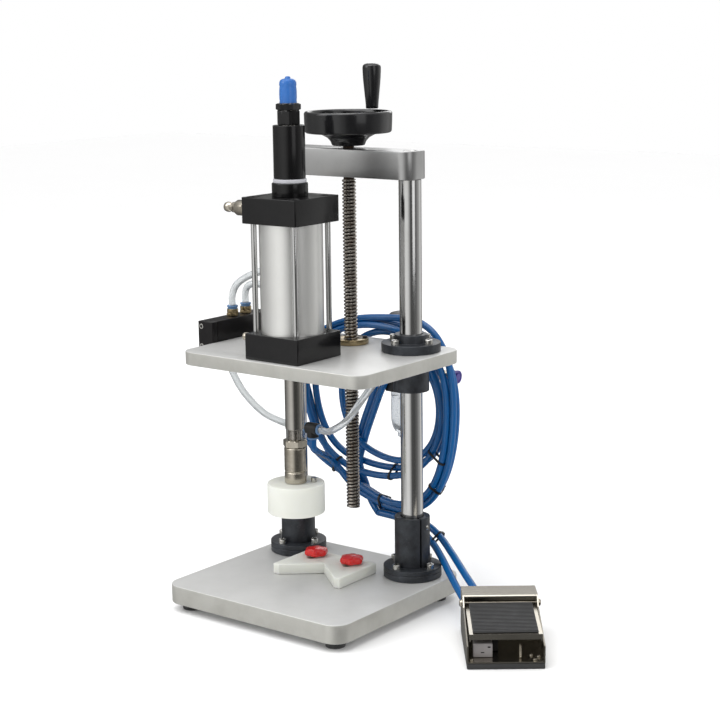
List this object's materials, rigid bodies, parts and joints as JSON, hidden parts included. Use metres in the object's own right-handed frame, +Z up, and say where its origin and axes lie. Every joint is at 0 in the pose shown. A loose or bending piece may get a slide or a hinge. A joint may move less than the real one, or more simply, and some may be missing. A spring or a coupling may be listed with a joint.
{
  "type": "capping machine",
  "caption": "Bench-top pneumatic capping press on two columns with a screw-adjusted lift plate, V-shaped bottle locator and a foot pedal on hoses.",
  "frame": {"origin": "middle of the base plate's top face, where the bottle stands", "axes": "+Z up along the columns, +X to the operator's right, +Y to the back"},
  "size_m": [0.471, 0.284, 0.6034],
  "materials": {
    "painted_plate": "satin light grey coat",
    "black_steel": "black oxide, satin",
    "chrome": "hard chromed and ground",
    "brushed_aluminium": "brushed",
    "barrel_aluminium": "satin anodised",
    "black_anodised": "black anodised, satin",
    "screw_steel": "oiled rolled thread",
    "brass": "machined",
    "nickel": "nickel plated",
    "bakelite": "moulded, glossy",
    "nylon": "turned milky nylon",
    "blue_cap": "soft vinyl",
    "bumper": "cast urethane",
    "red_plastic": "moulded",
    "black_rubber": "moulded, matt",
    "black_plastic": "moulded",
    "clear_bowl": "clear moulded polycarbonate",
    "clear_hose": "clear extruded polyurethane",
    "blue_hose": "extruded polyurethane",
    "pedal_nickel": "nickel plated sheet"
  },
  "bodies": {
    "frame": {"base_plate": "painted_plate", "foot_front_left": "black_rubber", "foot_front_right": "black_rubber", "foot_back_left": "black_rubber", "foot_back_right": "black_rubber", "base_flange_left": "black_steel", "base_flange_right": "black_steel", "column_left": "chrome", "column_right": "chrome", "top_beam": "brushed_aluminium", "pedal_sole": "black_rubber", "pedal_housing": "pedal_nickel", "pedal_valve": "black_anodised", "pedal_pin": "nickel", "pedal_hose_upper": "blue_hose", "pedal_hose_lower": "blue_hose"},
    "carriage": {"lift_plate": "painted_plate", "guide_flange_left": "black_steel", "guide_flange_right": "black_steel", "screw_nut": "brass", "front_cap": "black_anodised", "rear_cap": "black_anodised", "barrel": "barrel_aluminium", "tie_rod_front_left": "chrome", "tie_rod_front_right": "chrome", "tie_rod_back_left": "chrome", "tie_rod_back_right": "chrome", "bumper_ring": "bumper", "port_fitting_top": "nickel", "air_valve": "black_anodised", "valve_fitting_front": "brass", "valve_fitting_back": "brass", "regulator_body": "black_plastic", "regulator_bowl": "clear_bowl", "supply_fitting": "nickel", "hose_tee": "black_plastic", "air_hose_rear": "clear_hose", "air_hose_front": "clear_hose", "supply_hose_left": "clear_hose", "supply_hose_right": "clear_hose", "pilot_hose_tee": "blue_hose", "pilot_hose_valve": "blue_hose", "hose_coil": "blue_hose"},
    "press": {"piston": "black_rubber", "piston_rod": "chrome", "rod_nut": "brass", "rod_coupling": "nickel", "press_head": "nylon", "stop_sleeve": "black_anodised", "stop_nut": "black_anodised", "rod_cap": "blue_cap"},
    "screw": {"lead_screw": "screw_steel", "handwheel": "bakelite"},
    "grip": {"handwheel_grip": "bakelite"},
    "regulator_dial": {"regulator_knob": "black_plastic"},
    "locator": {"bottle_locator": "nylon"},
    "knob_left": {"locator_knob_left": "red_plastic"},
    "knob_right": {"locator_knob_right": "red_plastic"},
    "treadle": {"treadle": "pedal_nickel", "treadle_pad": "black_rubber"}
  },
  "joints": [
    {"name": "lift", "type": "slide", "parent": "frame", "child": "carriage", "axis": [0, 0, 1], "range_m": [-0.074, 0.15], "deforming": ["pedal_hose_upper", "pedal_hose_lower"]},
    {"name": "stroke", "type": "slide", "parent": "carriage", "child": "press", "axis": [0, 0, 1], "range_m": [0, 0.05]},
    {"name": "wheel_turn", "type": "hinge", "parent": "frame", "child": "screw", "pos_m": [0.0012, 0.0712, 0.5], "axis": [0, 0, 1], "range_deg": [-6760, 13600]},
    {"name": "grip_spin", "type": "hinge", "parent": "screw", "child": "grip", "pos_m": [0.0062, 0.1088, 0.55], "axis": [0, 0, 1], "continuous": true},
    {"name": "regulator_turn", "type": "hinge", "parent": "carriage", "child": "regulator_dial", "pos_m": [0.016, 0.152, 0.275], "axis": [0, 0, 1], "range_deg": [-720, 720]},
    {"name": "locator_slide", "type": "slide", "parent": "frame", "child": "locator", "axis": [0, 1, 0], "range_m": [-0.004, 0.014]},
    {"name": "knob_left_turn", "type": "hinge", "parent": "frame", "child": "knob_left", "pos_m": [-0.026, 0.035, 0.018], "axis": [0, 0, 1], "continuous": true},
    {"name": "knob_right_turn", "type": "hinge", "parent": "frame", "child": "knob_right", "pos_m": [0.026, 0.035, 0.018], "axis": [0, 0, 1], "continuous": true},
    {"name": "treadle_press", "type": "hinge", "parent": "frame", "child": "treadle", "pos_m": [0.23536, 0.02214, 0.0116], "axis": [0.7934, 0.6088, 0], "range_deg": [0, 9], "stiffness_Nm_per_rad": 6, "springref_deg": -3.44}
  ],
  "couplings": [
    {"joint": "wheel_turn", "follows": "lift", "rad_per_m": 1570.8}
  ]
}
